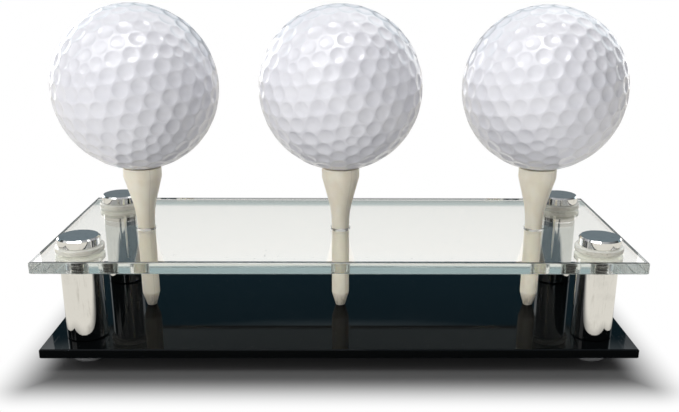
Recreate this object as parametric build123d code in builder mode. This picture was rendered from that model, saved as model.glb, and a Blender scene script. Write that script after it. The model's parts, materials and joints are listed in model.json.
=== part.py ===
from build123d import *
import math
import os

# Golf ball display stand: two acrylic plates on four standoffs, with three tees and three balls.
# Millimetres, +Z up. The origin is on the table, below the middle of the plates.
# The front is towards -Y and the long side runs along X.

# Balls, in a row with this much air between them and a margin at each end of the plates
ball_diameter = 42.7
ball_gap = 10.6
row_margin = 0.35

# Plates, as long as the row
plate_depth = 60.0
base_thickness = 2.5
top_thickness = 3.0
edge_break = 0.25

# Standoffs, one in each corner
standoff_inset_x = 9.6
standoff_inset_y = 9.6
barrel_diameter = 10.3
barrel_height = 18.5
barrel_edge_break = 0.3
bore_mouth_chamfer = 0.35
cap_diameter = 10.5
cap_height = 2.3
cap_bevel = 0.4
cap_underside_break = 0.15
stud_socket_depth = 1.3
washer_diameter = 12.1
washer_thickness = 1.5
washer_edge_round = 0.3

# Studs and base screws share one thread
thread_diameter = 4.9
thread_tip_chamfer = 0.4
stud_engagement = 6.5
screw_engagement = 5.5
screw_head_diameter = 9.4
screw_head_height = 3.9
screw_head_round = 1.7
recess_length = 4.4
recess_width = 1.1
recess_depth = 1.8
recess_taper = 6.0

# Tees, whose rims stand this far above the top plate
tee_rise = 16.7
tee_shank_diameter = 4.76
tee_tip_diameter = 2.54
tee_tip_length = 3.7
tee_tip_round = 0.25
tee_flare_length = 9.9
tee_rim_diameter = 10.1
tee_rim_height = 2.6
tee_rim_round = 0.3
tee_lip_width = 0.6
tee_neck_round = 26.0
tee_shoulder_round = 2.0
tee_cup_radius = 9.0
tee_hole_chamfer = 0.2
tee_hole_chamfer_angle = 90

# Clearances, each on the radius or along Z
thread_clearance = 0.05
washer_clearance = 0.25
plate_hole_clearance = 0.35
tee_hole_clearance = 0.17
ball_seat_clearance = 0.15

# The row of tees sets the plates' length
tee_spacing = ball_diameter + ball_gap
tee_places = {"left": -tee_spacing, "middle": 0.0, "right": tee_spacing}
tee_count = len(tee_places)
plate_length = (tee_count - 1) * tee_spacing + ball_diameter + 2 * row_margin

# Heights, from the table upwards
base_underside = screw_head_height
base_surface = base_underside + base_thickness
barrel_top = base_surface + barrel_height
plate_underside = barrel_top + washer_thickness
plate_surface = plate_underside + top_thickness
cap_underside = plate_surface + washer_thickness
tee_rim_top = plate_surface + tee_rise

# Radii and places that follow
thread_radius = thread_diameter / 2
bore_radius = thread_radius + thread_clearance
washer_hole_radius = thread_radius + washer_clearance
plate_hole_radius = thread_radius + plate_hole_clearance
tee_hole_radius = tee_shank_diameter / 2 + tee_hole_clearance
tee_mouth_radius = tee_hole_radius + tee_hole_chamfer
tee_lip_radius = tee_rim_diameter / 2 - tee_lip_width
ball_radius = ball_diameter / 2
ball_height = tee_rim_top + math.sqrt((ball_radius + ball_seat_clearance) ** 2 - tee_lip_radius**2)
tee_length = tee_rim_top - base_surface
standoff_x = plate_length / 2 - standoff_inset_x
standoff_y = plate_depth / 2 - standoff_inset_y
corners = {
    "front_left": (-standoff_x, -standoff_y),
    "front_right": (standoff_x, -standoff_y),
    "back_left": (-standoff_x, standoff_y),
    "back_right": (standoff_x, standoff_y),
}


# A horizontal plane through a point
def level(x, y, z):
    return Plane(origin=(x, y, z))


# A plane that faces the front, for half profiles: its own Y runs up
def upright(x, z):
    return Plane(origin=(x, 0, z), x_dir=(1, 0, 0), z_dir=(0, -1, 0))


def write(piece, name):
    piece.part.label = name
    export_step(piece.part, "parts/" + name + ".step")


# Base plate: black sheet with four screw holes
def make_base_plate():
    with BuildPart() as base_plate:
        with BuildSketch(Plane.XY.offset(base_underside)):
            Rectangle(plate_length, plate_depth)
        extrude(amount=base_thickness)
        rims = base_plate.faces().filter_by(Axis.Z).edges()
        chamfer(rims, edge_break)
        with Locations(Plane.XY.offset(base_surface)):
            with GridLocations(2 * standoff_x, 2 * standoff_y, 2, 2):
                Hole(plate_hole_radius)
    return base_plate


# Top plate: clear sheet with four stud holes and a row of chamfered tee holes
def make_top_plate():
    with BuildPart() as top_plate:
        with BuildSketch(Plane.XY.offset(plate_underside)):
            Rectangle(plate_length, plate_depth)
        extrude(amount=top_thickness)
        rims = top_plate.faces().filter_by(Axis.Z).edges()
        chamfer(rims, edge_break)
        with Locations(Plane.XY.offset(plate_surface)):
            with GridLocations(2 * standoff_x, 2 * standoff_y, 2, 2):
                Hole(plate_hole_radius)
            with GridLocations(tee_spacing, 0, tee_count, 1):
                CounterSinkHole(tee_hole_radius, tee_mouth_radius, counter_sink_angle=tee_hole_chamfer_angle)
    return top_plate


# Barrel: turned spacer, threaded right through, with a chamfer at each end of the bore
def make_barrel(x, y):
    with BuildPart() as barrel:
        with BuildSketch(level(x, y, base_surface)):
            Circle(barrel_diameter / 2)
        extrude(amount=barrel_height)
        chamfer(barrel.edges(), barrel_edge_break)
        with Locations(level(x, y, barrel_top)):
            Hole(bore_radius)
        mouths = barrel.edges().filter_by(GeomType.CIRCLE).group_by(SortBy.RADIUS)[0]
        chamfer(mouths, bore_mouth_chamfer)
    return barrel


# Cap: flat disc with a bevelled rim and a blind socket for its stud
def make_cap(x, y):
    with BuildPart() as cap:
        with BuildSketch(level(x, y, cap_underside)):
            Circle(cap_diameter / 2)
        extrude(amount=cap_height)
        chamfer(cap.edges().group_by(Axis.Z)[-1], cap_bevel)
        chamfer(cap.edges().group_by(Axis.Z)[0], cap_underside_break)
        with BuildSketch(level(x, y, cap_underside)):
            Circle(bore_radius)
        extrude(amount=stud_socket_depth, mode=Mode.SUBTRACT)
    return cap


# Stud: rod fixed in the cap, through both washers and the plate into the barrel
def make_stud(x, y):
    stud_top = cap_underside + stud_socket_depth
    stud_tip = barrel_top - stud_engagement
    with BuildPart() as stud:
        with BuildSketch(level(x, y, stud_tip)):
            Circle(thread_radius)
        extrude(amount=stud_top - stud_tip)
        chamfer(stud.edges().group_by(Axis.Z)[0], thread_tip_chamfer)
    return stud


# Washer: soft clear ring with a rounded outer edge
def make_washer(x, y, z):
    with BuildPart() as washer:
        with BuildSketch(level(x, y, z)):
            Circle(washer_diameter / 2)
        extrude(amount=washer_thickness)
        fillet(washer.edges(), washer_edge_round)
        with Locations(level(x, y, z + washer_thickness)):
            Hole(washer_hole_radius)
    return washer


# Base screw: pan head that is also the foot, cross recess below, shank up into the barrel
def make_base_screw(x, y):
    with BuildPart() as screw:
        with BuildSketch(level(x, y, 0)):
            Circle(screw_head_diameter / 2)
        extrude(amount=screw_head_height)
        fillet(screw.edges().group_by(Axis.Z)[0], screw_head_round)
        with BuildSketch(level(x, y, base_underside)):
            Circle(thread_radius)
        extrude(amount=base_thickness + screw_engagement)
        chamfer(screw.edges().group_by(Axis.Z)[-1], thread_tip_chamfer)
        with BuildSketch(level(x, y, 0)):
            Rectangle(recess_length, recess_width)
            Rectangle(recess_width, recess_length)
        extrude(amount=recess_depth, taper=recess_taper, mode=Mode.SUBTRACT)
    return screw


# Tee: blunt tip, straight shank, trumpet head with an upright rim and a bowl for the ball
def make_tee(x):
    shank_radius = tee_shank_diameter / 2
    rim_radius = tee_rim_diameter / 2
    rim_bottom = tee_length - tee_rim_height
    flare_bottom = rim_bottom - tee_flare_length
    bowl_sag = tee_cup_radius - math.sqrt(tee_cup_radius**2 - tee_lip_radius**2)
    with BuildPart() as tee:
        with BuildSketch(upright(x, base_surface)):
            with BuildLine():
                side = FilletPolyline(
                    (0, 0),
                    (tee_tip_diameter / 2, 0),
                    (shank_radius, tee_tip_length),
                    (shank_radius, flare_bottom),
                    (rim_radius, rim_bottom),
                    (rim_radius, tee_length),
                    radius=[tee_tip_round, tee_shoulder_round, tee_neck_round, tee_shoulder_round],
                )
                lip = Line(side @ 1, (tee_lip_radius, tee_length))
                bowl = RadiusArc(lip @ 1, (0, tee_length - bowl_sag), tee_cup_radius)
                Line(bowl @ 1, (0, 0))
            make_face()
        revolve(axis=Axis((x, 0, 0), (0, 0, 1)))
        rim_edge = tee.edges().group_by(Axis.Z)[-1].sort_by(SortBy.RADIUS)[-1]
        fillet(rim_edge, tee_rim_round)
    return tee


# Ball: plain sphere of the ball's real size
def make_ball(x):
    with BuildPart(level(x, 0, ball_height)) as ball:
        Sphere(ball_radius)
    return ball


os.makedirs("parts", exist_ok=True)
write(make_base_plate(), "base_plate")
write(make_top_plate(), "top_plate")
for corner, (x, y) in corners.items():
    write(make_barrel(x, y), corner + "_barrel")
    write(make_cap(x, y), corner + "_cap")
    write(make_stud(x, y), corner + "_stud")
    write(make_washer(x, y, plate_surface), corner + "_upper_washer")
    write(make_washer(x, y, barrel_top), corner + "_lower_washer")
    write(make_base_screw(x, y), corner + "_base_screw")
for place, x in tee_places.items():
    write(make_tee(x), place + "_tee")
    write(make_ball(x), place + "_ball")
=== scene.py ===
import json
import math

import bmesh
import bpy
from mathutils import Matrix, Vector
from mathutils.kdtree import KDTree

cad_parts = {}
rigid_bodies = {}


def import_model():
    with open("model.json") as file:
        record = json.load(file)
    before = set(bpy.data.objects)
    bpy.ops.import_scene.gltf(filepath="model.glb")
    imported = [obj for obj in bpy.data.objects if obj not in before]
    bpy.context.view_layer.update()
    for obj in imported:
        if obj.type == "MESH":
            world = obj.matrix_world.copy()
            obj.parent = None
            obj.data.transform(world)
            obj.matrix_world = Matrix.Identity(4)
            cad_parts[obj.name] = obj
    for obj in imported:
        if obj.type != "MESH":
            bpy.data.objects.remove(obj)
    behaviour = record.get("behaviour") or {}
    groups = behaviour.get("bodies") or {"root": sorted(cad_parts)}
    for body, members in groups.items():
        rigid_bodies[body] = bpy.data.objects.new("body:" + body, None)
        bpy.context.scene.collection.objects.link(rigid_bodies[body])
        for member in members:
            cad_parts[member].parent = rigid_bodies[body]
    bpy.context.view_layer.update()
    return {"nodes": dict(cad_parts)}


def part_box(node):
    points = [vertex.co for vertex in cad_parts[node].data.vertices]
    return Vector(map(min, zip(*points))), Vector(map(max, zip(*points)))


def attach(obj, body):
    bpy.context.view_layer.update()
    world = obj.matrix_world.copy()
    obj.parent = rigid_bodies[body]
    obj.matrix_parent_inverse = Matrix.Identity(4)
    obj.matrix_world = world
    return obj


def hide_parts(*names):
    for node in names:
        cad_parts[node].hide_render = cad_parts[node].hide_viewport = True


# An empty file first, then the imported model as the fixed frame
bpy.ops.object.select_all(action="SELECT")
bpy.ops.object.delete()
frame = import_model()
nodes = frame["nodes"]
corners = ("front_left", "front_right", "back_left", "back_right")
places = ("left", "middle", "right")
print("frame loaded with", len(nodes), "nodes")


# The camera stands where the photograph was taken from
photoView = {
    "place": (0.0, -0.21665, 0.09602),
    "heading": -0.722,  # degrees, as are the next two
    "tilt": 71.951,
    "roll": 0.303,
    "lens": 43.585,
    "shift": (-0.01592, 0.05007),
    "nearest": 0.01,
    "furthest": 20.0,
}


def placeCamera(view):
    bpy.ops.object.camera_add(location=view["place"])
    camera = bpy.context.object
    camera.name = "photoCamera"
    turn = (
        Matrix.Rotation(math.radians(view["heading"]), 4, "Z")
        @ Matrix.Rotation(math.radians(view["tilt"]), 4, "X")
        @ Matrix.Rotation(math.radians(view["roll"]), 4, "Z")
    )
    camera.rotation_euler = turn.to_euler()
    camera.data.lens = view["lens"]
    camera.data.shift_x, camera.data.shift_y = view["shift"]
    camera.data.clip_start = view["nearest"]
    camera.data.clip_end = view["furthest"]
    return camera


camera = placeCamera(photoView)
bpy.context.scene.camera = camera
print("camera placed")


# Helpers for editing

def pickNothing():
    if bpy.context.object and bpy.context.object.mode != "OBJECT":
        bpy.ops.object.mode_set(mode="OBJECT")
    bpy.ops.object.select_all(action="DESELECT")


def editPiece(piece):
    pickNothing()
    piece.select_set(True)
    bpy.context.view_layer.objects.active = piece
    bpy.ops.object.mode_set(mode="EDIT")
    bpy.ops.mesh.select_mode(type="VERT")
    bpy.ops.mesh.select_all(action="SELECT")


def leaveEdit():
    bpy.ops.object.mode_set(mode="OBJECT")


def pick(piece, kind, test):
    # Selects what passes the test, and nothing else
    bpy.ops.mesh.select_mode(type=kind)
    bpy.ops.mesh.select_all(action="DESELECT")
    mesh = bmesh.from_edit_mesh(piece.data)
    parts = {"VERT": mesh.verts, "EDGE": mesh.edges, "FACE": mesh.faces}[kind]
    for part in [part for part in parts if test(part)]:
        part.select = True
    mesh.select_flush_mode()
    bmesh.update_edit_mesh(piece.data)


def moveMesh(piece, place, turn=Matrix.Identity(3)):
    # The place goes into the mesh, and the object stays at the origin
    piece.data.transform(Matrix.Translation(Vector(place)) @ turn.to_4x4())
    piece.data.update()


def copyPiece(piece, name):
    twin = bpy.data.objects.new(name, piece.data.copy())
    bpy.context.collection.objects.link(twin)
    twin.data.name = name
    return twin


def middleOf(node):
    low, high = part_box(node)
    return (low + high) / 2


def finishPiece(piece, body, slot, node):
    piece.data.materials.clear()
    piece.data.materials.append(finishes[slot])
    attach(piece, body)
    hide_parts(node)


# Helpers for shader nodes

def addNode(tree, kind, **settings):
    node = tree.nodes.new(kind)
    for name, value in settings.items():
        setattr(node, name, value)
    return node


def wire(tree, source, target):
    tree.links.new(source, target)


def feed(tree, socket, value):
    # A colour or a number is set on the socket, and anything else is wired to it
    if isinstance(value, tuple):
        socket.default_value = (*value, 1.0)
    elif isinstance(value, (int, float)):
        socket.default_value = value
    else:
        wire(tree, value, socket)


def calculate(tree, operation, first, second=None, clamp=False):
    node = addNode(tree, "ShaderNodeMath", operation=operation, use_clamp=clamp)
    feed(tree, node.inputs[0], first)
    if second is not None:
        feed(tree, node.inputs[1], second)
    return node.outputs[0]


def add(tree, first, second):
    return calculate(tree, "ADD", first, second)


def subtract(tree, first, second):
    return calculate(tree, "SUBTRACT", first, second)


def multiply(tree, first, second):
    return calculate(tree, "MULTIPLY", first, second)


def sizeOf(tree, value):
    return calculate(tree, "ABSOLUTE", value)


def larger(tree, first, second):
    return calculate(tree, "MAXIMUM", first, second)


def lengthOf(tree, first, second):
    total = add(tree, calculate(tree, "POWER", first, 2.0), calculate(tree, "POWER", second, 2.0))
    return calculate(tree, "SQRT", total)


def remap(tree, value, low, high, toLow=0.0, toHigh=1.0):
    node = addNode(tree, "ShaderNodeMapRange", clamp=True, interpolation_type="SMOOTHSTEP")
    wire(tree, value, node.inputs["Value"])
    node.inputs["From Min"].default_value = low
    node.inputs["From Max"].default_value = high
    node.inputs["To Min"].default_value = toLow
    node.inputs["To Max"].default_value = toHigh
    return node.outputs["Result"]


def mixColours(tree, share, first, second):
    node = addNode(tree, "ShaderNodeMix", data_type="RGBA")
    colourA, colourB = node.inputs[6], node.inputs[7]  # its sockets for colours share their names with others
    feed(tree, node.inputs[0], share)
    feed(tree, colourA, first)
    feed(tree, colourB, second)
    return node.outputs[2]


def mixShaders(tree, share, first, second):
    mix = addNode(tree, "ShaderNodeMixShader")
    wire(tree, share, mix.inputs[0])
    wire(tree, first, mix.inputs[1])
    wire(tree, second, mix.inputs[2])
    wire(tree, mix.outputs["Shader"], tree.nodes["Material Output"].inputs["Surface"])


def splitCoordinates(tree, kind="Object"):
    source = addNode(tree, "ShaderNodeTexCoord")
    split = addNode(tree, "ShaderNodeSeparateXYZ")
    wire(tree, source.outputs[kind], split.inputs[0])
    return split.outputs


def noise(tree, scale, detail, stretch=(1.0, 1.0, 1.0), turn=(0.0, 0.0, 0.0), roughness=0.55):
    source = addNode(tree, "ShaderNodeTexCoord")
    mapping = addNode(tree, "ShaderNodeMapping")
    wire(tree, source.outputs["Object"], mapping.inputs["Vector"])
    mapping.inputs["Scale"].default_value = stretch
    mapping.inputs["Rotation"].default_value = turn
    node = addNode(tree, "ShaderNodeTexNoise")
    wire(tree, mapping.outputs["Vector"], node.inputs["Vector"])
    node.inputs["Scale"].default_value = scale
    node.inputs["Detail"].default_value = detail
    node.inputs["Roughness"].default_value = roughness
    return node.outputs["Fac"]


def newGroup(name, inputs, outputs):
    group = bpy.data.node_groups.new(name, "ShaderNodeTree")
    for label, value in inputs:
        socket = group.interface.new_socket(name=label, in_out="INPUT", socket_type="NodeSocketFloat")
        socket.default_value = value
    for label in outputs:
        group.interface.new_socket(name=label, in_out="OUTPUT", socket_type="NodeSocketFloat")
    entry = addNode(group, "NodeGroupInput")
    result = addNode(group, "NodeGroupOutput")
    return group, entry.outputs, result.inputs


def useGroup(tree, group, **values):
    node = addNode(tree, "ShaderNodeGroup", node_tree=group)
    for label, value in values.items():
        node.inputs[label].default_value = value
    return node.outputs


def useMarks(tree, look):
    smears, hairlines, dust = look["marks"]
    return useGroup(tree, handlingMarks, Smears=smears, Hairlines=hairlines, Dust=dust)


def newFinish(name):
    finish = bpy.data.materials.new(name)
    finish.use_nodes = True
    return finish, finish.node_tree, finish.node_tree.nodes["Principled BSDF"]


def bumpInto(tree, shader, height, distance):
    bump = addNode(tree, "ShaderNodeBump")
    bump.inputs["Distance"].default_value = distance
    bump.inputs["Strength"].default_value = 1.0
    wire(tree, height, bump.inputs["Height"])
    wire(tree, bump.outputs["Normal"], shader.inputs["Normal"])


# Effects that the finishes share. A pair is the range over which an effect fades in or out
handlingLook = {
    "smearStretch": (40.0, 110.0, 90.0),
    "smearTurn": (0.3, 0.1, 0.5),
    "smearFade": (0.45, 0.75),
    "smearGloss": 0.12,
    "hairlineStretch": (2600.0, 90.0, 420.0),
    "hairlineTurn": (0.1, 0.2, 0.9),
    "hairlineFade": (0.66, 0.74),
    "hairlineGloss": 0.2,
    "hairlineDepth": 0.3,
    "dustCells": 900.0,
    "dustSize": (0.10, 0.16),
    "dustChoice": (0.90, 0.94),  # one cell in about ten holds a speck
    "dustLevel": (0.3, 0.9),  # and only on faces that look up
    "dustGloss": 0.5,
}


def buildHandlingMarks(look):
    # Wiped smears, hairlines and settled dust, for anything that is polished
    group, entry, result = newGroup(
        "handlingMarks",
        [("Smears", 1.0), ("Hairlines", 1.0), ("Dust", 1.0)],
        ["Gloss Loss", "Height", "Dust Mask"],
    )
    wiped = noise(group, 1.0, 5.0, look["smearStretch"], look["smearTurn"], 0.6)
    smears = remap(group, wiped, *look["smearFade"])
    lines = noise(group, 1.0, 2.0, look["hairlineStretch"], look["hairlineTurn"], 0.5)
    hairlines = remap(group, lines, *look["hairlineFade"])
    place = addNode(group, "ShaderNodeTexCoord")
    cells = addNode(group, "ShaderNodeTexVoronoi", feature="F1")
    wire(group, place.outputs["Object"], cells.inputs["Vector"])
    cells.inputs["Scale"].default_value = look["dustCells"]
    specks = remap(group, cells.outputs["Distance"], *look["dustSize"], 1.0, 0.0)
    split = addNode(group, "ShaderNodeSeparateColor")
    wire(group, cells.outputs["Color"], split.inputs[0])
    chosen = remap(group, split.outputs[0], *look["dustChoice"])
    level = remap(group, splitCoordinates(group, "Normal")["Z"], *look["dustLevel"])
    dust = multiply(group, multiply(group, specks, chosen), level)
    dust = multiply(group, dust, entry["Dust"])
    smears = multiply(group, smears, entry["Smears"])
    hairlines = multiply(group, hairlines, entry["Hairlines"])
    loss = multiply(group, smears, look["smearGloss"])
    loss = add(group, loss, multiply(group, hairlines, look["hairlineGloss"]))
    loss = add(group, loss, multiply(group, dust, look["dustGloss"]))
    height = subtract(group, dust, multiply(group, hairlines, look["hairlineDepth"]))
    wire(group, loss, result["Gloss Loss"])
    wire(group, height, result["Height"])
    wire(group, dust, result["Dust Mask"])
    return group


def buildTurningMarks(axis, ringsPerMetre):
    # Fine rings left by the lathe round the four standoff axes, which lie at the same place in each quarter
    group, entry, result = newGroup(
        "turningMarks",
        [("Axis X", axis[0]), ("Axis Y", axis[1]), ("Rings Per Metre", ringsPerMetre)],
        ["Height", "Radius"],
    )
    place = splitCoordinates(group)
    alongX = subtract(group, sizeOf(group, place["X"]), entry["Axis X"])
    alongY = subtract(group, sizeOf(group, place["Y"]), entry["Axis Y"])
    radius = lengthOf(group, alongX, alongY)
    travel = add(group, radius, place["Z"])
    rings = addNode(group, "ShaderNodeTexNoise", noise_dimensions="1D")
    wire(group, multiply(group, travel, entry["Rings Per Metre"]), rings.inputs["W"])
    rings.inputs["Scale"].default_value = 1.0
    rings.inputs["Detail"].default_value = 4.0
    wire(group, rings.outputs["Fac"], result["Height"])
    wire(group, radius, result["Radius"])
    return group


def buildSheetEdges(leastSlant, flattest, endFacing):
    # Tells the sides and the broken edges of a flat sheet from its faces, by the way they look
    group, entry, result = newGroup(
        "sheetEdges", [("Least Slant", leastSlant)], ["Side", "Broken Edge", "Short End"]
    )
    facing = splitCoordinates(group, "Normal")
    flatness = sizeOf(group, facing["Z"])
    side = calculate(group, "LESS_THAN", flatness, entry["Least Slant"])
    face = calculate(group, "GREATER_THAN", flatness, flattest)
    broken = calculate(group, "SUBTRACT", subtract(group, 1.0, side), face, clamp=True)
    wire(group, calculate(group, "GREATER_THAN", sizeOf(group, facing["X"]), endFacing), result["Short End"])
    wire(group, side, result["Side"])
    wire(group, broken, result["Broken Edge"])
    return group


handlingMarks = buildHandlingMarks(handlingLook)
turningMarks = buildTurningMarks(axis=(0.0654, 0.0204), ringsPerMetre=9000.0)
sheetEdges = buildSheetEdges(leastSlant=0.25, flattest=0.95, endFacing=0.9)
print("shared shader groups built")


# The finishes, each with its look. Marks are the shares of smears, hairlines and dust
blackAcrylicLook = {
    "colour": (0.0016, 0.002, 0.0022),
    "edgeColour": (0.006, 0.007, 0.008),
    "dustColour": (0.25, 0.25, 0.24),
    "dustShare": 0.35,
    "marks": (0.25, 0.25, 0.5),
    "roughness": 0.015,
    "edgeRoughness": 0.10,
    "shine": 0.03,
    "bump": 0.00002,
}


def makeBlackAcrylic(look):
    finish, tree, shader = newFinish("blackAcrylicPolished")
    marks = useMarks(tree, look)
    edges = useGroup(tree, sheetEdges)
    colour = mixColours(tree, edges["Broken Edge"], look["colour"], look["edgeColour"])
    dust = multiply(tree, marks["Dust Mask"], look["dustShare"])
    wire(tree, mixColours(tree, dust, colour, look["dustColour"]), shader.inputs["Base Color"])
    rough = multiply(tree, edges["Side"], look["edgeRoughness"])
    rough = add(tree, rough, marks["Gloss Loss"])
    wire(tree, add(tree, rough, look["roughness"]), shader.inputs["Roughness"])
    shader.inputs["Specular IOR Level"].default_value = look["shine"]
    bumpInto(tree, shader, marks["Height"], look["bump"])
    return finish


clearAcrylicLook = {
    "colour": (1.0, 1.0, 0.985),
    "dustColour": (0.8, 0.8, 0.78),
    "marks": (0.12, 0.15, 0.5),
    "marksGloss": 0.5,
    "edgeRoughness": 0.035,
    "arrisRoughness": 0.30,
    # painted reflection: the colour of the dark arris line and of the arcs in front of the tee holes
    "paintedReflectionColour": (0.05, 0.058, 0.06),
    "arris": (0.00008, 0.00060),  # where the painted dark line starts and ends, in from the rim
    "halfLength": 0.075,
    "halfDepth": 0.030,
    "upperFace": 0.0294,
    "upperReach": 0.00014,  # painted dark lines lie no further than this below the upper face
    "teeSpacing": 0.0533,
    "mouthRadius": (0.00335, 0.00315),
    "mouthStart": (0.20, 0.35),  # sines of the angle from straight ahead
    "mouthEnd": (0.92, 0.80),
    "endRoughness": 0.55,  # the short ends keep some of the saw's marks
    "endMarks": 1400.0,
    "endStretch": (1.0, 1.0, 0.12),
    "endSlant": (0.35, 0.0, 0.0),
    "endFade": (0.25, 0.55),
    "endDepth": 6.0,
    "ior": 1.49,
    "absorption": (0.869, 0.885, 0.877),
    "density": 66.0,
    "lampShare": (0.94, 0.955, 0.95),
    "bump": 0.00001,
}


def paintedDarkReflections(tree, look):
    # Painted reflections: the dark line along the upper arris, and the dark arcs in front of the tee holes, stand
    # for dark surroundings that the sheet mirrors there
    place = splitCoordinates(tree)
    across = sizeOf(tree, place["X"])
    deep = sizeOf(tree, place["Y"])
    fromEnd = subtract(tree, look["halfLength"], across)
    fromSide = subtract(tree, look["halfDepth"], deep)
    fromRim = calculate(tree, "MINIMUM", fromEnd, fromSide)
    high = calculate(tree, "GREATER_THAN", place["Z"], look["upperFace"] - look["upperReach"])
    first, last = look["arris"]
    arris = calculate(tree, "GREATER_THAN", fromRim, first)
    arris = multiply(tree, arris, calculate(tree, "LESS_THAN", fromRim, last))
    nearest = subtract(tree, across, look["teeSpacing"])
    nearest = calculate(tree, "MINIMUM", sizeOf(tree, nearest), across)
    radius = lengthOf(tree, nearest, deep)
    mouth = remap(tree, radius, *look["mouthRadius"])
    slant = calculate(tree, "DIVIDE", nearest, radius)
    mouth = multiply(tree, mouth, remap(tree, slant, *look["mouthStart"]))
    mouth = multiply(tree, mouth, remap(tree, slant, *look["mouthEnd"]))
    mouth = multiply(tree, mouth, calculate(tree, "LESS_THAN", place["Y"], 0.0))
    return larger(tree, multiply(tree, arris, high), multiply(tree, mouth, high))


def letThrough(tree, shader, colour):
    # Lamps shine through clear plastic, as they do through the real one
    path = addNode(tree, "ShaderNodeLightPath")
    clear = addNode(tree, "ShaderNodeBsdfTransparent")
    clear.inputs["Color"].default_value = (*colour, 1.0)
    mixShaders(tree, path.outputs["Is Shadow Ray"], shader.outputs["BSDF"], clear.outputs["BSDF"])


def absorb(tree, colour, density):
    inside = addNode(tree, "ShaderNodeVolumeAbsorption")
    inside.inputs["Color"].default_value = (*colour, 1.0)
    inside.inputs["Density"].default_value = density
    wire(tree, inside.outputs["Volume"], tree.nodes["Material Output"].inputs["Volume"])


def makeClearAcrylic(look):
    finish, tree, shader = newFinish("clearAcrylicPolished")
    marks = useMarks(tree, look)
    edges = useGroup(tree, sheetEdges)
    shader.inputs["Transmission Weight"].default_value = 1.0
    shader.inputs["IOR"].default_value = look["ior"]
    # The painted dark reflections go into the sheet's colour
    dark = paintedDarkReflections(tree, look)
    colour = mixColours(tree, marks["Dust Mask"], look["colour"], look["dustColour"])
    wire(tree, mixColours(tree, dark, colour, look["paintedReflectionColour"]), shader.inputs["Base Color"])
    rough = multiply(tree, edges["Side"], look["edgeRoughness"])
    rough = add(tree, rough, multiply(tree, edges["Broken Edge"], look["arrisRoughness"]))
    sawn = noise(tree, look["endMarks"], 3.0, look["endStretch"], look["endSlant"])
    sawn = multiply(tree, remap(tree, sawn, *look["endFade"]), edges["Short End"])
    rough = add(tree, rough, multiply(tree, sawn, look["endRoughness"]))
    rough = add(tree, rough, multiply(tree, marks["Gloss Loss"], look["marksGloss"]))
    wire(tree, rough, shader.inputs["Roughness"])
    height = add(tree, marks["Height"], multiply(tree, sawn, look["endDepth"]))
    bumpInto(tree, shader, height, look["bump"])
    letThrough(tree, shader, look["lampShare"])
    absorb(tree, look["absorption"], look["density"])
    return finish


washerLook = {
    "colour": (1.0, 0.995, 0.95),
    "cloudColour": (0.93, 0.9, 0.78),
    "cloudShare": 0.35,
    "cloudFade": (0.4, 0.75),
    "rimColour": (0.98, 0.95, 0.85),
    "rimShare": 0.45,  # over the whole rim, and streaks add theirs
    "streakShare": 0.55,
    "streaks": 620.0,
    "streakStretch": (1.0, 1.0, 3.5),
    "streakFade": (0.35, 0.62),
    # painted reflection: thin dark outlines on the rim, standing for edges seen in and through the clear washer
    "paintedOutlineColour": (0.42, 0.40, 0.32),
    "paintedOutlineShare": 0.7,
    "paintedOutlineWidth": 0.045,
    "ripples": 720.0,
    "rippleStretch": (0.35, 0.35, 2.6),
    "rippleDepth": 0.00016,
    "clarity": 0.52,
    "marks": (0.6, 0.2, 0.5),
    "roughness": (0.02, 0.044),
    "roughFade": (0.3, 0.8),
    "ior": 1.40,
    "absorption": (0.95, 0.94, 0.82),
    "density": 3.0,
    "lampShare": (0.95, 0.94, 0.88),
    "grain": 1300.0,
    "bump": 0.00006,
}


def makeWasherPlastic(look):
    finish, tree, shader = newFinish("washerSoftPlastic")
    marks = useMarks(tree, look)
    cloud = noise(tree, look["grain"], 3.0)
    shader.inputs["Transmission Weight"].default_value = look["clarity"]
    shader.inputs["IOR"].default_value = look["ior"]
    milky = multiply(tree, remap(tree, cloud, *look["cloudFade"]), look["cloudShare"])
    streak = remap(tree, noise(tree, look["streaks"], 3.0, look["streakStretch"]), *look["streakFade"])
    side = add(tree, look["rimShare"], multiply(tree, streak, look["streakShare"]))
    side = multiply(tree, useGroup(tree, sheetEdges)["Side"], side)
    colour = mixColours(tree, milky, look["colour"], look["cloudColour"])
    ripples = noise(tree, look["ripples"], 1.0, look["rippleStretch"])
    fromMiddle = sizeOf(tree, subtract(tree, ripples, 0.5))
    # Painted dark outlines lie where the ripples cross their middle; the same ripples also bump the rim
    lines = remap(tree, fromMiddle, 0.0, look["paintedOutlineWidth"], look["paintedOutlineShare"], 0.0)
    rim = mixColours(tree, lines, look["rimColour"], look["paintedOutlineColour"])
    wire(tree, mixColours(tree, side, colour, rim), shader.inputs["Base Color"])
    rough = add(tree, marks["Gloss Loss"], remap(tree, cloud, *look["roughFade"], *look["roughness"]))
    wire(tree, rough, shader.inputs["Roughness"])
    ripples = multiply(tree, ripples, look["rippleDepth"] / look["bump"])
    bumpInto(tree, shader, add(tree, cloud, ripples), look["bump"])
    letThrough(tree, shader, look["lampShare"])
    absorb(tree, look["absorption"], look["density"])
    return finish


chromeLook = {
    "colour": (0.85, 0.85, 0.84),
    "worn": (0.70, 0.70, 0.69),
    "streak": (0.60, 0.59, 0.57),
    "metal": 1.0,
    "roughness": 0.03,
    "bump": 0.0000012,
}

screwChromeLook = {
    "colour": (0.74, 0.745, 0.75),
    "worn": (0.55, 0.55, 0.55),
    "streak": (0.45, 0.45, 0.44),
    "metal": 0.75,
    "roughness": 0.20,
    "bump": 0.000003,
}

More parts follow.
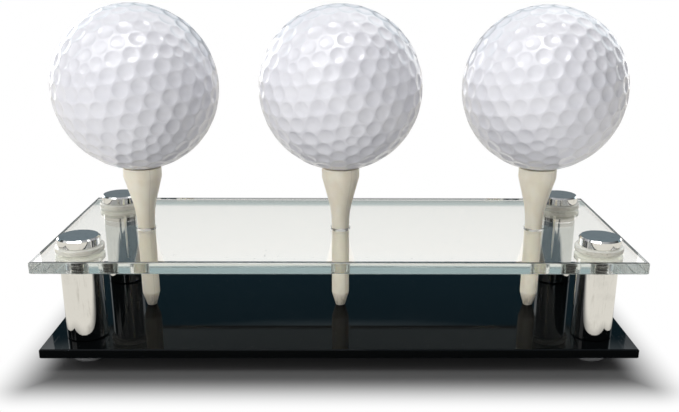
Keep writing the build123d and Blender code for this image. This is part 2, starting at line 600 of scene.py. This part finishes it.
platingLook = {
    "dustColour": (0.5, 0.5, 0.48),
    "marks": (0.25, 0.35, 0.3),
    "marksGloss": 0.5,
    "blotches": 260.0,
    "blotchFade": (0.5, 0.8),
    "blotchShare": 0.5,
    "blotchRoughness": 0.03,
    "streaks": 1100.0,
    "streakStretch": (1.0, 1.0, 0.12),
    "streakFade": (0.5, 0.72),
    "streakPatches": 330.0,
    "patchFade": (0.4, 0.65),
    "streakShare": 0.6,
}


def makeChrome(name, look):
    look = {**platingLook, **look}
    finish, tree, shader = newFinish(name)
    marks = useMarks(tree, look)
    rings = useGroup(tree, turningMarks)
    blotch = remap(tree, noise(tree, look["blotches"], 4.0), *look["blotchFade"])
    colour = mixColours(tree, multiply(tree, blotch, look["blotchShare"]), look["colour"], look["worn"])
    streaks = remap(tree, noise(tree, look["streaks"], 4.0, look["streakStretch"]), *look["streakFade"])
    patches = remap(tree, noise(tree, look["streakPatches"], 2.0), *look["patchFade"])
    streaks = multiply(tree, multiply(tree, streaks, patches), look["streakShare"])
    colour = mixColours(tree, streaks, colour, look["streak"])
    wire(tree, mixColours(tree, marks["Dust Mask"], colour, look["dustColour"]), shader.inputs["Base Color"])
    shader.inputs["Metallic"].default_value = look["metal"]
    rough = add(tree, multiply(tree, marks["Gloss Loss"], look["marksGloss"]), look["roughness"])
    rough = add(tree, rough, multiply(tree, blotch, look["blotchRoughness"]))
    wire(tree, rough, shader.inputs["Roughness"])
    bumpInto(tree, shader, rings["Height"], look["bump"])
    return finish


studSteelLook = {
    "colour": (0.66, 0.655, 0.64),
    # a dark colour: painted shade in the thread's roots, and the stains
    "rootShadeAndStains": (0.09, 0.086, 0.08),
    "marks": (1.0, 0.5, 0.0),
    "roots": (0.00205, 0.00238),  # painted shade in the thread's roots
    "stains": 900.0,
    "stainFade": (0.35, 0.7),
    "stainShare": 0.35,
    "stainRoughness": 0.15,
    "rings": 14000.0,
    "roughness": 0.22,
    "bump": 0.00001,
}


def makeStudSteel(look):
    finish, tree, shader = newFinish("studThreadedSteel")
    marks = useMarks(tree, look)
    rings = useGroup(tree, turningMarks, **{"Rings Per Metre": look["rings"]})
    root = remap(tree, rings["Radius"], *look["roots"])
    stain = remap(tree, noise(tree, look["stains"], 4.0), *look["stainFade"])
    # Painted shade darkens the thread's roots, and stains darken the rest a little
    steelShare = multiply(tree, root, subtract(tree, 1.0, multiply(tree, stain, look["stainShare"])))
    wire(tree, mixColours(tree, steelShare, look["rootShadeAndStains"], look["colour"]), shader.inputs["Base Color"])
    shader.inputs["Metallic"].default_value = 1.0
    rough = add(tree, marks["Gloss Loss"], multiply(tree, stain, look["stainRoughness"]))
    wire(tree, add(tree, rough, look["roughness"]), shader.inputs["Roughness"])
    bumpInto(tree, shader, rings["Height"], look["bump"])
    return finish


teePlasticLook = {
    "colour": (0.96, 0.895, 0.745),
    "shade": (0.91, 0.835, 0.68),
    "clouds": 420.0,
    "cloudStretch": (1.0, 1.0, 0.35),
    "cloudFade": (0.35, 0.7),
    "footColour": (0.45, 0.42, 0.36),  # painted shade: the tip darkens towards its point, where it faces the dark base
    "footShare": 0.62,
    "foot": (0.0066, 0.0105),
    "scuffColour": (0.25, 0.21, 0.15),
    "scuffShare": 0.55,
    "scuffs": 1500.0,
    "scuffStretch": (1.0, 1.0, 0.2),
    "scuffFade": (0.45, 0.62),
    "spacing": 0.0533,
    "seamColour": (0.45, 0.40, 0.30),
    "seamShare": 0.25,
    "seamWidth": (0.000048, 0.00012),
    "seamTurn": (0.82, 0.57),  # which way the mould opened
    "seamHeight": 0.8,
    "grain": 5200.0,
    "grainHeight": 0.12,
    "roughness": (0.36, 0.50),
    "roughFade": (0.3, 0.75),
    "depth": 0.25,
    "depthColour": (1.0, 0.8, 0.5),
    "depthReach": 0.0012,
    "bump": 0.00005,
}


def makeTeePlastic(look):
    # Moulded plastic with the fine line where the two halves of the mould met, and painted shade towards the tip
    finish, tree, shader = newFinish("teeMouldedPlastic")
    place = splitCoordinates(tree)
    nearest = calculate(tree, "ROUND", calculate(tree, "DIVIDE", place["X"], look["spacing"]))
    across = subtract(tree, place["X"], multiply(tree, nearest, look["spacing"]))
    alongX, alongY = look["seamTurn"]
    turned = add(tree, multiply(tree, across, alongX), multiply(tree, place["Y"], alongY))
    seam = remap(tree, sizeOf(tree, turned), *look["seamWidth"], 1.0, 0.0)
    cloud = noise(tree, look["clouds"], 4.0, look["cloudStretch"])
    grain = noise(tree, look["grain"], 2.0)
    # Painted shade: darker towards the tip's point; the scuffs stay within the same reach
    foot = remap(tree, place["Z"], *look["foot"], 1.0, 0.0)
    scuff = remap(tree, noise(tree, look["scuffs"], 4.0, look["scuffStretch"]), *look["scuffFade"])
    scuff = multiply(tree, foot, scuff)
    colour = mixColours(tree, remap(tree, cloud, *look["cloudFade"]), look["colour"], look["shade"])
    for mask, name in ((foot, "foot"), (scuff, "scuff"), (seam, "seam")):
        share = multiply(tree, mask, look[name + "Share"])
        colour = mixColours(tree, share, colour, look[name + "Colour"])
    wire(tree, colour, shader.inputs["Base Color"])
    wire(tree, remap(tree, cloud, *look["roughFade"], *look["roughness"]), shader.inputs["Roughness"])
    shader.inputs["Subsurface Weight"].default_value = look["depth"]
    shader.inputs["Subsurface Radius"].default_value = look["depthColour"]
    shader.inputs["Subsurface Scale"].default_value = look["depthReach"]
    height = add(tree, multiply(tree, grain, look["grainHeight"]), multiply(tree, seam, look["seamHeight"]))
    bumpInto(tree, shader, height, look["bump"])
    return finish


ballCoverLook = {
    "colour": (0.73, 0.73, 0.765),
    "shade": (0.675, 0.675, 0.715),
    "marks": (0.6, 0.15, 0.2),
    "marksGloss": 0.7,
    "clouds": 95.0,
    "cloudFade": (0.35, 0.75),
    "pools": 1900.0,
    "roughness": 0.30,
    "coat": (0.7, 0.525),
    "coatFade": (0.3, 0.8),
    "coatRoughness": 0.10,
    "bump": 0.000012,
}


def makeBallCover(look):
    # Painted and lacquered cover: the lacquer pools a little and picks up faint handling marks
    finish, tree, shader = newFinish("ballPaintedCover")
    marks = useMarks(tree, look)
    cloud = noise(tree, look["clouds"], 3.0)
    pool = noise(tree, look["pools"], 2.0)
    colour = mixColours(tree, remap(tree, cloud, *look["cloudFade"]), look["colour"], look["shade"])
    wire(tree, colour, shader.inputs["Base Color"])
    rough = add(tree, multiply(tree, marks["Gloss Loss"], look["marksGloss"]), look["roughness"])
    wire(tree, rough, shader.inputs["Roughness"])
    wire(tree, remap(tree, cloud, *look["coatFade"], *look["coat"]), shader.inputs["Coat Weight"])
    shader.inputs["Coat Roughness"].default_value = look["coatRoughness"]
    bumpInto(tree, shader, pool, look["bump"])
    return finish


finishes = {
    "black_acrylic": makeBlackAcrylic(blackAcrylicLook),
    "clear_acrylic": makeClearAcrylic(clearAcrylicLook),
    "clear_washer": makeWasherPlastic(washerLook),
    "chrome": makeChrome("standoffChrome", chromeLook),
    "screw_chrome": makeChrome("screwChromePlate", screwChromeLook),
    "stud_steel": makeStudSteel(studSteelLook),
    "tee_plastic": makeTeePlastic(teePlasticLook),
    "ball_cover": makeBallCover(ballCoverLook),
}
for node in nodes.values():
    for slot in node.material_slots:
        slot.material = finishes[slot.material.name.split(".")[0]]
print("finishes made and given to", len(nodes), "nodes")


# Golf balls
ballShape = {
    "radius": 0.02135,
    "rowsPerSide": 6,  # dimple rows along each side of the twenty triangles: 362 dimples
    "relaxRounds": 12,
    "dimpleRadius": 0.00197,
    "dimpleDepth": 0.00038,
    "leastLand": 0.00008,  # half the narrowest web between two dimples
    # Shares of the dimple's radius and depth
    "rings": ((1.03, 0.0), (0.985, 0.07), (0.88, 0.30), (0.62, 0.70), (0.3, 0.93)),
    "inset": 0.00008,
    "onSurface": 0.9985,  # share of the radius, above which a vertex isn't the middle of a triangle
    "rowTilt": 9.0,  # degrees, as are the next two
    "lookRight": 1.7,  # how far the pattern is turned to the right of the camera, and up
    "lookUp": 0.5,
}


def pushToBall(mesh, radius):
    for vert in mesh.verts:
        vert.co = vert.co.normalized() * radius


def measureCells(mesh, shape):
    # Each cell holds the largest dimple that leaves the web between them
    cells = KDTree(len(mesh.faces))
    sizes = []
    for number, face in enumerate(mesh.faces):
        middle = face.calc_center_median().normalized()
        sides = (((edge.verts[0].co + edge.verts[1].co) / 2).normalized() for edge in face.edges)
        reach = min((side - middle).length for side in sides) * shape["radius"]
        sizes.append(min(shape["dimpleRadius"], (reach - shape["leastLand"]) / shape["rings"][0][0]))
        cells.insert(middle, number)
    cells.balance()
    narrowest, widest = (round(2000 * size, 2) for size in (min(sizes), max(sizes)))
    print("ball cells:", len(sizes), "with dimples from", narrowest, "to", widest, "mm across")
    return cells, sizes


def layRing(mesh, shape, cells, sizes, share, depth):
    # Each picked face becomes one ring of its dimple: a circle round the cell's middle, sunk by its share
    for face in mesh.faces:
        if not face.select:
            continue
        middle, number = cells.find(face.calc_center_median().normalized())[:2]
        size = sizes[number]
        angle = size * share / shape["radius"]
        height = shape["radius"] - depth * shape["dimpleDepth"] * size / shape["dimpleRadius"]
        for vert in face.verts:
            outward = vert.co - middle * vert.co.dot(middle)
            outward.normalize()
            vert.co = (middle * math.cos(angle) + outward * math.sin(angle)) * height


def modelBall(shape):
    pickNothing()
    bpy.ops.mesh.primitive_ico_sphere_add(subdivisions=1, radius=shape["radius"], location=(0, 0, 0))
    ball = bpy.context.object
    ball.name = "dimpledBall"
    triangle = ball.data.polygons[0]
    start, end = (ball.data.vertices[number].co for number in triangle.vertices[:2])
    pattern = (triangle.center.normalized(), (start - end).normalized())
    editPiece(ball)
    bpy.ops.mesh.subdivide(number_cuts=shape["rowsPerSide"] - 1)
    for relaxRound in range(shape["relaxRounds"]):
        bpy.ops.mesh.vertices_smooth(factor=0.5, repeat=2)
        pushToBall(bmesh.from_edit_mesh(ball.data), shape["radius"])
    # Turn the triangles inside out: one cell round each vertex
    limit = shape["radius"] * shape["onSurface"]
    bpy.ops.mesh.poke()
    pick(ball, "EDGE", lambda edge: all(v.co.length > limit for v in edge.verts))
    bpy.ops.mesh.dissolve_edges(use_verts=False)
    bpy.ops.mesh.select_all(action="SELECT")
    bpy.ops.mesh.quads_convert_to_tris(quad_method="SHORTEST_DIAGONAL")
    pick(ball, "VERT", lambda vert: vert.co.length > limit)
    bpy.ops.mesh.dissolve_verts()
    bpy.ops.mesh.select_all(action="SELECT")
    mesh = bmesh.from_edit_mesh(ball.data)
    pushToBall(mesh, shape["radius"])
    cells, sizes = measureCells(mesh, shape)
    bpy.ops.mesh.subdivide(number_cuts=1)
    pushToBall(bmesh.from_edit_mesh(ball.data), shape["radius"])
    bpy.ops.mesh.select_mode(type="FACE")
    for share, depth in shape["rings"]:
        bpy.ops.mesh.inset(thickness=shape["inset"], use_individual=True)
        layRing(bmesh.from_edit_mesh(ball.data), shape, cells, sizes, share, depth)
        bmesh.update_edit_mesh(ball.data)
    bpy.ops.mesh.poke()
    mesh = bmesh.from_edit_mesh(ball.data)
    for vert in mesh.verts:
        if vert.select and len(vert.link_edges) > 7:  # the bottoms of the dimples
            middle, number = cells.find(vert.co.normalized())[:2]
            vert.co = middle * (shape["radius"] - shape["dimpleDepth"] * sizes[number] / shape["dimpleRadius"])
    bmesh.update_edit_mesh(ball.data)
    leaveEdit()
    bpy.ops.object.shade_smooth()
    print("ball modelled with", len(ball.data.polygons), "faces")
    return ball, pattern


def faceTheCamera(pattern, node, shape):
    # The middle of one triangle of the pattern faces the camera, its rows rising to the right
    middle = middleOf(node)
    toCamera = (camera.location - middle).normalized()
    right = Vector((0, 0, 1)).cross(toCamera).normalized()
    up = toCamera.cross(right)
    toCamera += right * math.radians(shape["lookRight"]) + up * math.radians(shape["lookUp"])
    toCamera.normalize()
    right = Vector((0, 0, 1)).cross(toCamera).normalized()
    row = Matrix.Rotation(math.radians(shape["rowTilt"]), 3, toCamera) @ right
    centre, side = pattern
    before = Matrix((side, centre.cross(side), centre)).transposed()
    after = Matrix((row, toCamera.cross(row), toCamera)).transposed()
    return after @ before.transposed(), middle


ball, pattern = modelBall(ballShape)
for place in places:
    node = place + "_ball"
    piece = copyPiece(ball, place + "DimpledBall")
    turn, middle = faceTheCamera(pattern, node, ballShape)
    moveMesh(piece, middle, turn)
    finishPiece(piece, node, "ball_cover", node)
bpy.data.objects.remove(ball)
print("three balls placed")


# Studs
threadShape = {
    "pitch": 0.0008,
    "crest": 0.00245,
    "root": 0.00202,
    "flanks": (0.12, 0.46, 0.58, 0.92),  # shares of the pitch at which the tooth's corners lie
    "steps": 24,
    "leadIn": 0.0004,
    "closeness": 0.000001,
    "smoothAngle": 25.0,
}


def modelThreadedRod(name, length, shape):
    # One tooth's profile, drawn point by point and swept round and up, then cut square at both ends
    pitch, crest, root = shape["pitch"], shape["crest"], shape["root"]
    profile = list(zip((root, root, crest, crest, root, root), (0.0, *shape["flanks"], 1.0)))
    pickNothing()
    bpy.ops.mesh.primitive_plane_add(size=0.001, location=(0, 0, 0))
    rod = bpy.context.object
    rod.name = name
    editPiece(rod)
    bpy.ops.mesh.merge(type="CENTER")
    bpy.ops.transform.translate(value=(profile[0][0], 0, -pitch))
    for (fromRadius, fromRise), (toRadius, toRise) in zip(profile, profile[1:]):
        bpy.ops.mesh.extrude_vertices_move(
            TRANSFORM_OT_translate={"value": (toRadius - fromRadius, 0, (toRise - fromRise) * pitch)}
        )
    leaveEdit()
    sweep = rod.modifiers.new("sweep", "SCREW")
    sweep.axis = "Z"
    sweep.screw_offset = pitch
    sweep.iterations = math.ceil(length / pitch) + 2
    sweep.steps = sweep.render_steps = shape["steps"]
    sweep.use_merge_vertices = True
    sweep.merge_threshold = shape["closeness"]
    bpy.ops.object.modifier_apply(modifier="sweep")
    editPiece(rod)
    bpy.ops.mesh.remove_doubles(threshold=2 * shape["closeness"])
    for height, isTop in ((0.0, False), (length, True)):
        bpy.ops.mesh.select_all(action="SELECT")
        bpy.ops.mesh.bisect(
            plane_co=(0, 0, height),
            plane_no=(0, 0, 1),
            clear_inner=not isTop,
            clear_outer=isTop,
            use_fill=True,
            threshold=shape["closeness"],
        )
    for vert in bmesh.from_edit_mesh(rod.data).verts:
        widest = root - shape["leadIn"] / 3 + vert.co.z  # the point of the rod tapers
        across = math.hypot(vert.co.x, vert.co.y)
        if across > widest:
            vert.co.x *= widest / across
            vert.co.y *= widest / across
    bpy.ops.mesh.select_all(action="SELECT")
    bpy.ops.mesh.normals_make_consistent(inside=False)
    leaveEdit()
    bpy.ops.object.shade_smooth_by_angle(angle=math.radians(shape["smoothAngle"]))
    return rod


low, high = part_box("front_left_stud")
stud = modelThreadedRod("threadedStud", high.z - low.z, threadShape)
for corner in corners:
    node = corner + "_stud"
    low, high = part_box(node)
    piece = copyPiece(stud, corner + "ThreadedStud")
    moveMesh(piece, ((low.x + high.x) / 2, (low.y + high.y) / 2, low.z))
    finishPiece(piece, corner + "_cap", "stud_steel", node)
bpy.data.objects.remove(stud)
print("four threaded studs placed")


# Base screws
baseScrewShape = {
    "headRadius": 0.0047,
    "headHeight": 0.0039,
    "headRound": 0.0017,
    "underRound": 0.00012,
    "recessWidth": 0.0011,
    "recessReach": 0.0022,
    "recessDepth": 0.0018,
    "recessTaper": 0.62,
    "recessOverlap": 0.0002,  # the cutter stands this far out of the head
    "shankOverlap": 0.0003,  # the shank goes this far into it
    "sides": 64,
    "roundSteps": 8,
    "underSteps": 2,
    "rimReach": 0.0001,
    "smoothAngle": 25.0,
}


def modelRecessCutter(shape):
    wide, deep, overlap = shape["recessWidth"], shape["recessDepth"], shape["recessOverlap"]
    pickNothing()
    bpy.ops.mesh.primitive_cube_add(size=wide, location=(0, 0, 0))
    cutter = bpy.context.object
    editPiece(cutter)
    bpy.ops.transform.resize(value=(1, 1, (deep + overlap) / wide))
    bpy.ops.transform.translate(value=(0, 0, (deep - overlap) / 2))
    reach = shape["recessReach"] - wide / 2
    for way in (Vector((1, 0, 0)), Vector((-1, 0, 0)), Vector((0, 1, 0)), Vector((0, -1, 0))):
        near = wide + deep  # this also takes the sides of the arms drawn out before, so the recess comes out square
        pick(cutter, "FACE", lambda face: face.normal.dot(way) > 0.9 and face.calc_center_median().length < near)
        bpy.ops.mesh.extrude_region_move(TRANSFORM_OT_translate={"value": way * reach})
    pick(cutter, "FACE", lambda face: face.normal.z > 0.9)
    taper = shape["recessTaper"]
    bpy.ops.transform.resize(value=(taper, taper, 1), center_override=(0, 0, deep))
    leaveEdit()
    return cutter


def modelBaseScrew(shape, thread, length):
    tall, rimReach = shape["headHeight"], shape["rimReach"]
    shank = modelThreadedRod("screwShank", length - tall + shape["shankOverlap"], thread)
    # The taper of the rod is at its low end, so the shank is turned over and set into the head
    shank.data.transform(Matrix.Translation((0, 0, length)) @ Matrix.Rotation(math.pi, 4, "X"))
    pickNothing()
    bpy.ops.mesh.primitive_cylinder_add(
        vertices=shape["sides"], radius=shape["headRadius"], depth=tall, location=(0, 0, tall / 2)
    )
    head = bpy.context.object
    head.name = "panHead"
    bpy.ops.object.transform_apply(location=True, rotation=False, scale=False)
    editPiece(head)
    pick(head, "EDGE", lambda edge: all(v.co.z < rimReach for v in edge.verts))
    bpy.ops.mesh.bevel(offset=shape["headRound"], segments=shape["roundSteps"], profile=0.5, affect="EDGES")
    pick(head, "EDGE", lambda edge: all(v.co.z > tall - rimReach for v in edge.verts))
    bpy.ops.mesh.bevel(offset=shape["underRound"], segments=shape["underSteps"], profile=0.5, affect="EDGES")
    leaveEdit()
    cutter = modelRecessCutter(shape)
    cut = head.modifiers.new("recess", "BOOLEAN")
    cut.operation = "DIFFERENCE"
    cut.solver = "EXACT"
    cut.object = cutter
    pickNothing()
    head.select_set(True)
    bpy.context.view_layer.objects.active = head
    bpy.ops.object.modifier_apply(modifier="recess")
    bpy.data.objects.remove(cutter)
    shank.select_set(True)
    bpy.ops.object.join()
    bpy.ops.object.shade_smooth_by_angle(angle=math.radians(shape["smoothAngle"]))
    return head


low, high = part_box("front_left_base_screw")
screw = modelBaseScrew(baseScrewShape, threadShape, high.z - low.z)
for corner in corners:
    node = corner + "_base_screw"
    middle = middleOf(node)
    piece = copyPiece(screw, corner + "BaseScrew")
    moveMesh(piece, (middle.x, middle.y, 0.0))
    finishPiece(piece, "stand", "screw_chrome", node)
bpy.data.objects.remove(screw)
print("four base screws placed")


# Washers
washerShape = {
    "sides": 96,
    "outerRadius": 0.00605,
    "holeRadius": 0.0027,
    "thickness": 0.0015,
    "edgeRound": 0.0003,
    "roundSteps": 6,
    "closeness": 0.00001,
    "gap": 0.00002,  # keeps its clear faces off what they lie on
    "smoothAngle": 30.0,
}


def modelWasher(shape):
    outer, closeness = shape["outerRadius"], shape["closeness"]
    tall = shape["thickness"] - 2 * shape["gap"]
    pickNothing()
    bpy.ops.mesh.primitive_circle_add(vertices=shape["sides"], radius=outer, location=(0, 0, 0))
    ring = bpy.context.object
    ring.name = "softWasher"
    editPiece(ring)
    bpy.ops.mesh.duplicate()
    narrow = shape["holeRadius"] / outer
    bpy.ops.transform.resize(value=(narrow, narrow, 1.0), center_override=(0.0, 0.0, 0.0))
    bpy.ops.mesh.select_all(action="SELECT")
    bpy.ops.mesh.bridge_edge_loops()
    bpy.ops.mesh.extrude_region_move(TRANSFORM_OT_translate={"value": (0.0, 0.0, tall)})
    bpy.ops.mesh.select_all(action="SELECT")
    bpy.ops.mesh.normals_make_consistent(inside=False)

    def isOuterRim(edge):
        first, last = (vert.co for vert in edge.verts)
        return min(first.xy.length, last.xy.length) > outer - closeness and abs(first.z - last.z) < closeness

    pick(ring, "EDGE", isOuterRim)
    bpy.ops.mesh.bevel(offset=shape["edgeRound"], segments=shape["roundSteps"], profile=0.5, affect="EDGES")
    leaveEdit()
    bpy.ops.object.shade_smooth_by_angle(angle=math.radians(shape["smoothAngle"]))
    return ring


washer = modelWasher(washerShape)
for corner in corners:
    for place, body in (("upper", corner + "_washer"), ("lower", "stand")):
        node = corner + "_" + place + "_washer"
        low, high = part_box(node)
        piece = copyPiece(washer, corner + place.capitalize() + "Washer")
        moveMesh(piece, ((low.x + high.x) / 2, (low.y + high.y) / 2, low.z + washerShape["gap"]))
        finishPiece(piece, body, "clear_washer", node)
bpy.data.objects.remove(washer)
print("eight washers placed")


# The floor, whose colour depends on what sees it, with a painted shadow round the stand
floorLook = {
    "size": 6.0,
    "colour": (0.90, 0.90, 0.90),
    "paintedShadowColour": (0.10, 0.10, 0.10),  # painted shadow round the stand, as the camera and metal see it
    "halfLength": 0.075,
    "halfDepth": 0.030,
    "paintedShadowForward": 0.007,  # the painted shadow lies this much forward, as most light comes from behind
    "shade": (-0.005, 0.012),  # the painted shadow burns out to white between these distances from the stand
    "mirroredColour": (0.80, 0.77, 0.70),  # as metal sees it, clear of the stand
    "mirrored": (0.004, 0.022),
    "paperColour": (1.17, 1.13, 1.09),  # as it looks through the clear sheet
    "wallColour": (0.56, 0.61, 0.59),  # the same, past its far edge
    "farEdge": 0.118,
    # painted shadow: the floor in front looks darker through the clear sheet
    "paintedFrontShade": (0.60, 0.60, 0.59),
    "frontEdge": -0.040,
    "edgeBlur": 0.0025,
    "grain": 900.0,
    "grainColour": (0.3, 0.3, 0.3),
    "grainShare": 0.02,
    "roughness": 0.7,
    "shine": 0.1,
}


def distanceOutside(tree, place, look, forward):
    # How far a place on the floor lies outside the stand's own outline
    acrossX = subtract(tree, sizeOf(tree, place["X"]), look["halfLength"])
    acrossY = subtract(tree, sizeOf(tree, add(tree, place["Y"], forward)), look["halfDepth"])
    inside = calculate(tree, "MINIMUM", larger(tree, acrossX, acrossY), 0.0)
    outside = lengthOf(tree, larger(tree, acrossX, 0.0), larger(tree, acrossY, 0.0))
    return add(tree, outside, inside)


def makeFloor(look):
    pickNothing()
    bpy.ops.mesh.primitive_plane_add(size=look["size"], location=(0, 0, 0))
    floor = bpy.context.object
    floor.name = "studioFloor"
    finish, tree, shader = newFinish("floorPaper")
    ray = addNode(tree, "ShaderNodeLightPath").outputs
    place = splitCoordinates(tree)
    # Camera and glossy rays see the dark painted shadow colour, lit by the lamps
    lit = larger(tree, ray["Is Camera Ray"], ray["Is Glossy Ray"])
    lit = mixColours(tree, lit, look["colour"], look["paintedShadowColour"])
    grain = multiply(tree, noise(tree, look["grain"], 3.0), look["grainShare"])
    wire(tree, mixColours(tree, grain, lit, look["grainColour"]), shader.inputs["Base Color"])
    shader.inputs["Roughness"].default_value = look["roughness"]
    shader.inputs["Specular IOR Level"].default_value = look["shine"]

    glow = addNode(tree, "ShaderNodeEmission")
    blur = look["edgeBlur"]
    wall = remap(tree, place["Y"], look["farEdge"] - blur, look["farEdge"] + blur)
    front = remap(tree, place["Y"], look["frontEdge"] - blur, look["frontEdge"] + blur, 1.0, 0.0)
    through = mixColours(tree, wall, look["paperColour"], look["wallColour"])
    # Painted shadow: the floor in front of the stand looks darker through the clear sheet
    through = mixColours(tree, front, through, look["paintedFrontShade"])
    colour = mixColours(tree, ray["Is Glossy Ray"], (1.0, 1.0, 1.0), look["mirroredColour"])
    wire(tree, mixColours(tree, ray["Is Transmission Ray"], colour, through), glow.inputs["Color"])

    # Painted shadow: near the stand the camera sees the dark colour, which gives way to the white glow further off;
    # metal sees it near the stand too
    clearOfPaintedShadow = remap(tree, distanceOutside(tree, place, look, look["paintedShadowForward"]), *look["shade"])
    clear = remap(tree, distanceOutside(tree, place, look, 0.0), *look["mirrored"])
    share = larger(tree, multiply(tree, ray["Is Camera Ray"], clearOfPaintedShadow), ray["Is Transmission Ray"])
    share = larger(tree, share, multiply(tree, ray["Is Glossy Ray"], clear))
    mixShaders(tree, share, shader.outputs["BSDF"], glow.outputs["Emission"])
    floor.data.materials.append(finish)


# The world: white to the camera, and other colours by height for metal and for the clear sheet
studioLook = {
    "seen": (1.0, 1.0, 1.0),
    "ambient": (0.185, 0.185, 0.195),
    "room": (  # the dim room in front and to the sides, which the standoffs mirror
        (0.0, (0.010, 0.012, 0.014)),
        (0.50, (0.014, 0.017, 0.018)),
        (0.80, (0.22, 0.23, 0.24)),
        (1.0, (0.60, 0.61, 0.62)),
    ),
    "backdrop": (  # the lit wall behind and the gap below its panel
        (0.0, (0.14, 0.17, 0.19)),
        (0.27, (0.175, 0.21, 0.23)),
        (0.32, (0.17, 0.22, 0.25)),
        (0.345, (0.10, 0.26, 0.36)),
        (0.400, (0.10, 0.26, 0.36)),
        (0.412, (1.25, 1.50, 1.60)),
        (0.420, (1.25, 1.50, 1.60)),
        (0.428, (0.84, 1.12, 1.24)),
        (0.62, (0.95, 1.00, 1.02)),
    ),
    "backdropSide": (0.25, 0.60),
    "wallTop": 0.45,
    "wallThrough": (0.43, 0.47, 0.465),  # as it looks through the clear sheet
    "wallMirrored": (0.50, 0.62, 0.66),  # and as the base or the sheet's own faces mirror it
    "roomThrough": (0.12, 0.13, 0.135),
}


def rampByHeight(tree, height, colours):
    ramp = addNode(tree, "ShaderNodeValToRGB")
    wire(tree, height, ramp.inputs[0])
    steps = ramp.color_ramp.elements
    while len(steps) < len(colours):
        steps.new(1.0)
    for step, (place, colour) in zip(steps, colours):
        step.position = place
        step.color = (*colour, 1.0)
    return ramp.outputs["Color"]


def makeWorld(look):
    world = bpy.data.worlds.new("whiteStudio")
    bpy.context.scene.world = world
    world.use_nodes = True
    tree = world.node_tree
    background = tree.nodes["Background"]
    ray = addNode(tree, "ShaderNodeLightPath").outputs
    way = splitCoordinates(tree, "Generated")
    room = rampByHeight(tree, way["Z"], look["room"])
    wall = rampByHeight(tree, way["Z"], look["backdrop"])
    behind = remap(tree, way["Y"], *look["backdropSide"])
    mirrored = mixColours(tree, behind, room, wall)
    colour = mixColours(tree, ray["Is Glossy Ray"], look["ambient"], mirrored)
    bounced = calculate(tree, "GREATER_THAN", ray["Glossy Depth"], 0.5)
    through = mixColours(tree, bounced, look["wallThrough"], look["wallMirrored"])
    through = mixColours(tree, behind, look["roomThrough"], through)
    low = calculate(tree, "LESS_THAN", way["Z"], look["wallTop"])
    through = mixColours(tree, low, look["seen"], through)
    colour = mixColours(tree, ray["Is Transmission Ray"], colour, through)
    wire(tree, mixColours(tree, ray["Is Camera Ray"], colour, look["seen"]), background.inputs["Color"])
    background.inputs["Strength"].default_value = 1.0


# For each lamp its place, what it is aimed at, its size, its watts and whether metal mirrors it
lamps = {
    "overheadSoftbox": ((-0.05, -0.19, 0.62), (0.0, 0.0, 0.05), 0.20, 1.12, True),
    "keySoftbox": ((-0.32, -0.34, 0.62), (0.0, 0.0, 0.05), 0.60, 2.1, True),
    "leftSoftbox": ((-0.62, -0.18, 0.50), (0.0, 0.0, 0.05), 0.45, 0.40, True),
    "topBackSoftbox": ((0.36, 0.36, 0.72), (0.0, 0.0, 0.03), 0.60, 1.35, True),
    "backLeftPanel": ((-0.50, 0.55, 0.16), (0.0, 0.0, 0.06), 0.40, 1.4, True),
    "backRightPanel": ((0.50, 0.55, 0.16), (0.0, 0.0, 0.06), 0.40, 0.8, True),
    "lowFrontPanel": ((-0.36, -0.62, 0.11), (0.0, 0.0, 0.03), 0.50, 2.3, False),
}


def makeLamp(name, place, target, size, power, mirrored):
    bpy.ops.object.light_add(type="AREA", location=place)
    lamp = bpy.context.object
    lamp.name = name
    lamp.data.shape = "SQUARE"
    lamp.data.size = size
    lamp.data.energy = power
    lamp.visible_glossy = mirrored
    lamp.visible_transmission = False  # no lamp shows through the clear sheet
    lamp.rotation_euler = (Vector(target) - Vector(place)).to_track_quat("-Z", "Y").to_euler()


pickNothing()
makeFloor(floorLook)
makeWorld(studioLook)
for name, settings in lamps.items():
    makeLamp(name, *settings)
bpy.context.scene.view_settings.view_transform = "Standard"
cycles = bpy.context.scene.cycles
# Light runs the length of the clear sheet between its faces
cycles.max_bounces = cycles.transmission_bounces = 20
cycles.glossy_bounces = 16
print("studio set")
